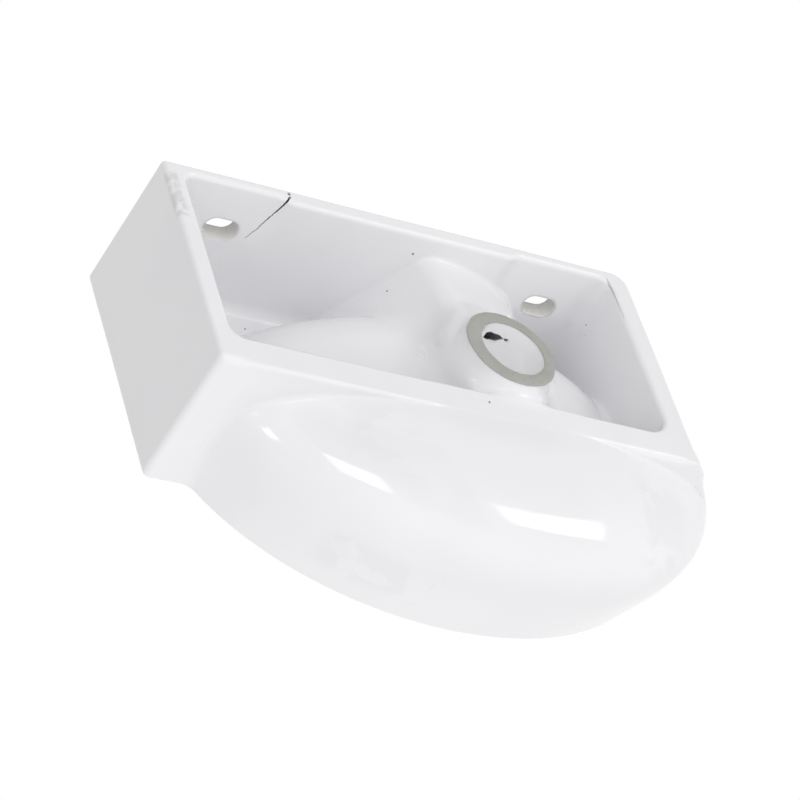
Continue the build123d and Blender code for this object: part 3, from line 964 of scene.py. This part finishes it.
@dataclass
class FixingSlotLips:
    """Thinly glazed linings of the two fixing slots, with ragged front borders."""

    shape: BasinShape
    inner_radius: float = 7.5
    outer_radius: float = 8.9
    wall_back_y: float = -0.4
    set_back: float = 0.35
    rag: float = 0.9
    rag_waves: int = 30
    front_rag: float = 0.5
    inner_rag: float = 0.35
    end_turn: float = 5.0
    around: int = 160
    profile: tuple = (
        *((0.0, 0.0), (0.0, 0.25), (0.0, 0.5), (0.0, 0.75), (0.0, 0.94)),
        *((0.25, 1.0), (1.0, 1.0), (1.0, 0.5), (1.0, 0.0)),
    )

    def build(self) -> list:
        """Carries an uneven profile round each slot's outline, a circle pulled apart at its middle.

        Each pair of the profile is the share of the lining's thickness and the share of the wall's.
        """
        finish = LIP_CHINA.material()
        linings = (("right_slot_lining", self.shape.slot_x, 21), ("left_slot_lining", -self.shape.slot_x, 22))
        return [dress(self.lining(name, side, seed), finish, Slot.GLAZED) for name, side, seed in linings]

    def lining(self, name: str, centre_x: float, seed: int) -> bpy.types.Object:
        """Builds one lining.

        Args:
            name: Name of the piece.
            centre_x: Place of the slot's middle.
            seed: Seed of its ragged border.

        Returns:
            The lining's object.
        """
        share = np.arange(self.around) / self.around
        angle = 2 * np.pi * share
        rim = np.clip(np.sin(angle), -1.0, 1.0)
        ragged = wander(share, self.rag, seed, self.rag_waves) * np.clip(0.35 + 0.65 * rim, 0.1, 1.0)
        above_foot = self.inner_radius * rim - self.shape.foot_z
        relief = self.shape.panel_relief * np.clip(1.0 - above_foot / self.shape.panel_height, 0.0, 1.0)
        front = self.shape.cavity_high[1] + relief + self.set_back + self.front_rag * np.abs(ragged)
        pull = self.shape.slot_half_straight * np.clip(self.end_turn * np.cos(angle), -1.0, 1.0)
        rows = []
        for reach, depth in self.profile:
            radius = self.inner_radius + (self.outer_radius - self.inner_radius) * reach
            radius = radius + self.inner_rag * ragged * (1.0 - reach) * depth
            y = self.wall_back_y + (front - self.wall_back_y) * depth
            x = centre_x + pull + radius * np.cos(angle)
            rows.append(np.column_stack([x, y, radius * np.sin(angle)]))
        grid = np.stack(rows)
        return mesh_object(name, grid.reshape(-1, 3), closed_tube(grid))


@dataclass
class SurfaceLine:
    """Thin uneven line that lies on the casting, such as a crack or a stain."""

    name: str
    places: tuple
    half_widths: tuple
    finish: BareChina
    seed: int
    waver: float = 0.5
    waver_waves: int = 16
    width_change: float = 0.6
    width_waves: int = 24
    height: float = 0.10
    steps: int = 140
    around: int = 10

    def build(self, shape: BasinShape) -> bpy.types.Object:
        """Settles a wavering path onto the casting and carries a flat oval along it.

        The formula: the path runs straight between its places, moved aside by a wander, then settled; each
        ring is the path's point plus half the width across it and a little height off the surface.
        """
        along = np.linspace(0.0, 1.0, self.steps)
        stops = np.linspace(0.0, 1.0, len(self.places))
        path = np.stack([np.interp(along, stops, axis) for axis in np.array(self.places).T], axis=1)
        aside = [wander(along, self.waver, self.seed + axis, self.waver_waves) for axis in range(3)]
        path = settle(shape, path + np.stack(aside, axis=1), MARK_REACH, MARK_ROUNDS)
        _, slope = slopes(shape, path)
        out = slope / np.linalg.norm(slope, axis=1, keepdims=True)
        ahead = np.gradient(path, axis=0)
        across = np.cross(out, ahead)
        across /= np.maximum(np.linalg.norm(across, axis=1, keepdims=True), TINY)
        width = np.interp(along, np.linspace(0.0, 1.0, len(self.half_widths)), self.half_widths)
        width = width * (1.0 + wander(along, self.width_change, self.seed + 5, self.width_waves))
        angle = 2 * np.pi * np.arange(self.around) / self.around
        side = np.cos(angle)[None, :, None] * (across * width[:, None])[:, None, :]
        lift = np.sin(angle)[None, :, None] * (out * self.height)[:, None, :]
        points, faces = capped_tube((path[:, None, :] + side + lift)[:, ::-1])
        return dress(mesh_object(self.name, points, faces), self.finish.material(), Slot.GROUND)


@dataclass
class SurfaceSpecks:
    """Flattened pebbles set on the casting: pinholes, chips or beads of glaze."""

    name: str
    places: tuple
    radii: tuple
    seed: int
    height_share: float = 0.22
    rings: int = 7
    around: int = 14
    rag: float = 0.45
    rag_waves: int = 4
    pole_gap: float = 0.06
    any_way: tuple = (0.31, 0.52, 0.79)

    def build(self, shape: BasinShape) -> bpy.types.Object:
        """Puts an uneven flattened ball at each place, turned to lie on the surface.

        The formula: a ball's rings and turns, stretched by the speck's radius along the surface and by a
        share of it off the surface, with the radius wandering round the turn.
        """
        centre = settle(shape, np.array(self.places, dtype=float), MARK_REACH, MARK_ROUNDS)
        _, slope = slopes(shape, centre)
        out = slope / np.linalg.norm(slope, axis=1, keepdims=True)
        across = np.cross(out, np.array(self.any_way))
        across /= np.linalg.norm(across, axis=1, keepdims=True)
        along = np.cross(out, across)
        tilt = np.linspace(self.pole_gap, np.pi - self.pole_gap, self.rings)
        share = np.arange(self.around) / self.around
        turn = 2 * np.pi * share
        points, faces, start = [], [], 0
        for number, radius in enumerate(self.radii):
            reach = radius * (1.0 + wander(share, self.rag, self.seed + number, self.rag_waves))
            flat_one = np.sin(tilt)[:, None] * (reach * np.cos(turn))[None, :]
            flat_two = np.sin(tilt)[:, None] * (reach * np.sin(turn))[None, :]
            lift = np.repeat(np.cos(tilt)[:, None] * radius * self.height_share, self.around, axis=1)
            ball = centre[number] + flat_one[..., None] * across[number] + flat_two[..., None] * along[number]
            ball = ball + lift[..., None] * out[number]
            ball_points, ball_faces = capped_tube(ball)
            points.append(ball_points)
            faces.append(ball_faces + start)
            start += len(ball_points)
        return mesh_object(self.name, np.concatenate(points), np.concatenate(faces))


@dataclass
class Flaws:
    """Marks of age and making on the casting."""

    shape: BasinShape
    crack_path: tuple = (
        *((89.4, -7.2, -34.9), (92.4, -10.4, -31.0), (94.2, -10.6, -25.0), (96.0, -10.6, -19.9)),
        *((98.4, -11.2, -13.0), (100.3, -11.7, -7.7), (105.1, -12.6, 2.0)),
    )
    crack_half_widths: tuple = (0.68, 0.58, 0.45, 0.36, 0.30, 0.12)
    stain_path: tuple = (
        *((-160.4, -8.5, -34.0), (-161.4, -13.0, -33.6), (-162.2, -21.0, -33.4)),
        *((-162.6, -31.0, -33.4), (-162.8, -46.0, -33.4)),
    )
    stain_half_widths: tuple = (0.25, 0.75, 0.55, 0.35, 0.12)
    chip_places: tuple = ((89.8, -4.6, -35.0), (90.5, -8.2, -34.3))
    chip_radii: tuple = (1.3, 0.8)
    pinhole_places: tuple = (
        *((-12.5, -12.8, -18.3), (-5.7, -21.8, 9.8), (-161.8, -18.8, 0.4)),
        *((-162.2, -23.5, 5.4), (-16.2, -165.7, -36.9), (76.1, -28.1, 63.0)),
    )
    pinhole_radii: tuple = (0.95, 0.7, 0.6, 0.45, 0.85, 0.7)
    bead_places: tuple = (
        *((-2.1, -98.0, -4.3), (-3.2, -101.0, -6.0)),
        *((-4.5, -104.9, -7.4), (0.5, -101.5, -4.0)),
    )
    bead_radii: tuple = (1.5, 1.1, 1.3, 0.8)

    def build(self) -> list:
        """Builds the crack, its chip, the edge stain, the pinholes and the beads of glaze."""
        crack = SurfaceLine("wall_crack", self.crack_path, self.crack_half_widths, CRACK_DIRT, 31)
        stain = SurfaceLine("edge_stain", self.stain_path, self.stain_half_widths, STAIN_DIRT, 41)
        pieces = [crack.build(self.shape), stain.build(self.shape)]
        chips = SurfaceSpecks("rim_chips", self.chip_places, self.chip_radii, 51).build(self.shape)
        pieces.append(dress(chips, SPECK_DIRT.material(), Slot.GROUND))
        holes = SurfaceSpecks("pinholes", self.pinhole_places, self.pinhole_radii, 61).build(self.shape)
        pieces.append(dress(holes, SPECK_DIRT.material(), Slot.GROUND))
        beads = SurfaceSpecks(
            "glaze_beads", self.bead_places, self.bead_radii, 71, height_share=0.4, rings=9, around=20
        )
        pieces.append(dress(beads.build(self.shape), WhiteGlaze().material(), Slot.GLAZED))
        return pieces


# Studio


@dataclass(frozen=True)
class SoftBox:
    """Square-cornered soft lamp, hung some way off from a place on the basin, in metres."""

    name: str
    from_place: tuple
    direction: tuple
    across: tuple
    distance: float
    size: tuple
    radiance: float
    mirrored: bool = True

    def build(self) -> None:
        """Hangs the lamp and sets its power, which is its radiance times pi times its area."""
        data = bpy.data.lights.new(self.name, "AREA")
        data.shape = "RECTANGLE"
        data.size, data.size_y = self.size
        data.energy = self.radiance * math.pi * self.size[0] * self.size[1]
        way = Vector(self.direction).normalized()
        up = way.cross(Vector(self.across)).normalized()
        turn = Matrix((up.cross(way), up, way)).transposed().to_4x4()
        lamp = bpy.data.objects.new(self.name, data)
        lamp.matrix_world = Matrix.Translation(Vector(self.from_place) + way * self.distance) @ turn
        lamp.visible_camera = False
        lamp.visible_glossy = self.mirrored
        bpy.context.scene.collection.objects.link(lamp)


@dataclass
class Studio:
    """Even studio light round the basin, white beyond it, over a plain pale floor."""

    middle_radiance: float = 0.64
    radiance_gain: float = 0.43
    bright_way: tuple = (-0.08, -0.86, -0.50)
    floor_z: float = -3.6
    floor_half: float = 1.5
    floor_colour: tuple = (0.86, 0.86, 0.86)
    floor_cloud_scale: float = 1.5
    floor_grain_scale: float = 40.0
    floor_border: tuple = (0.3, 0.7)
    floor_shade: float = 0.98
    floor_roughness: tuple = (0.8, 0.9)
    boxes: tuple = (
        SoftBox(
            *("left_box", (0.085, -0.233, -0.012), (0.185, -0.18, -0.94), (1.0, 0.0, 0.0)),
            distance=1.75,
            size=(0.64, 0.42),
            radiance=3.7,
        ),
        SoftBox(
            *("right_box", (-0.045, -0.250, -0.024), (-0.58, 0.05, -0.79), (-0.3, 0.1, 0.23)),
            distance=1.75,
            size=(0.68, 0.34),
            radiance=3.7,
        ),
        SoftBox(
            *("side_box", (0.135, -0.200, 0.0), (0.80, -0.08, -0.55), (0.0, 1.0, 0.0)),
            distance=1.9,
            size=(0.30, 0.36),
            radiance=4.5,
        ),
        SoftBox(
            *("top_fill", (0.0, -0.12, 0.0), (0.10, -0.25, 0.96), (1.0, 0.0, 0.0)),
            distance=2.7,
            size=(2.4, 2.4),
            radiance=1.0,
            mirrored=False,
        ),
    )

    def build(self) -> None:
        """Builds the world, the lamps and the floor."""
        self.world()
        for box in self.boxes:
            box.build()
        self.floor()

    def world(self) -> None:
        """World whose light is a middle value plus a gain times the dot product with its brightest way."""
        world = bpy.data.worlds.new("studio")
        bpy.context.scene.world = world
        world.use_nodes = True
        nodes, links = world.node_tree.nodes, world.node_tree.links
        place = nodes.new("ShaderNodeTexCoord").outputs["Generated"]
        dot = nodes.new("ShaderNodeVectorMath")
        dot.operation = "DOT_PRODUCT"
        dot.inputs[1].default_value = Vector(self.bright_way).normalized()
        links.new(place, dot.inputs[0])
        level = nodes.new("ShaderNodeMath")
        level.operation = "MULTIPLY_ADD"
        level.inputs[1].default_value = self.radiance_gain
        level.inputs[2].default_value = self.middle_radiance
        links.new(dot.outputs["Value"], level.inputs[0])
        light = nodes["Background"]
        light.inputs["Color"].default_value = (1.0, 1.0, 1.0, 1.0)
        links.new(level.outputs[0], light.inputs["Strength"])
        white = nodes.new("ShaderNodeBackground")
        white.inputs["Color"].default_value = (1.0, 1.0, 1.0, 1.0)
        white.inputs["Strength"].default_value = 1.0
        path = nodes.new("ShaderNodeLightPath")
        seen = path.outputs["Is Camera Ray"]
        for name in ("Is Glossy Ray", "Is Transmission Ray"):
            either = nodes.new("ShaderNodeMath")
            either.operation = "MAXIMUM"
            links.new(seen, either.inputs[0])
            links.new(path.outputs[name], either.inputs[1])
            seen = either.outputs[0]
        mix = nodes.new("ShaderNodeMixShader")
        links.new(seen, mix.inputs[0])
        links.new(light.outputs[0], mix.inputs[1])
        links.new(white.outputs[0], mix.inputs[2])
        links.new(mix.outputs[0], nodes["World Output"].inputs[0])

    def floor(self) -> None:
        """Plain pale floor far below the basin."""
        half, z = self.floor_half / MM, self.floor_z / MM
        corners = np.array([(-half, -half, z), (half, -half, z), (half, half, z), (-half, half, z)])
        floor = mesh_object("floor", corners, np.array([[0, 1, 2, 3]]), smooth=False)
        sheet = Sheet("pale_floor")
        shade = sheet.spread(sheet.noise(self.floor_cloud_scale), self.floor_border)
        darker = tuple(self.floor_shade * part for part in self.floor_colour)
        rough = sheet.spread(sheet.noise(self.floor_grain_scale), self.floor_border, self.floor_roughness)
        floor.data.materials.append(sheet.finish(sheet.blend(shade, darker, self.floor_colour), rough))


@dataclass(frozen=True)
class PhotoCamera:
    """Camera at the photograph's place, found from the case's straight edges."""

    place: tuple = (1.266, -1.774, -1.352)
    right: tuple = (-0.84186, -0.2403, -0.48326)
    up: tuple = (0.18897, 0.7075, -0.68099)
    back: tuple = (0.50554, -0.66461, -0.5502)
    focal_pixels: float = 3870.0
    image_pixels: float = 800.0
    sensor: float = 36.0
    clip_range: tuple = (0.05, 50.0)

    def build(self) -> None:
        """Puts the camera there and makes it the scene's own."""
        data = bpy.data.cameras.new("view")
        data.sensor_width = self.sensor
        data.lens = self.focal_pixels * self.sensor / self.image_pixels
        data.clip_start, data.clip_end = self.clip_range
        camera = bpy.data.objects.new("view", data)
        turn = Matrix((self.right, self.up, self.back)).transposed().to_4x4()
        camera.matrix_world = Matrix.Translation(Vector(self.place)) @ turn
        bpy.context.scene.collection.objects.link(camera)
        bpy.context.scene.camera = camera


def main() -> None:
    """Builds the pieces in order, then the studio and the camera."""
    logging.basicConfig(level=logging.INFO)
    shape = BasinShape()
    for part in (GlazedCasting(shape), OutletSeat(shape), FixingSlotLips(shape), Flaws(shape)):
        part.build()
        log.info("%s done", type(part).__name__)
    Studio().build()
    PhotoCamera().build()
    bpy.context.scene.view_settings.view_transform = "Standard"


if __name__ == "__main__":
    main()
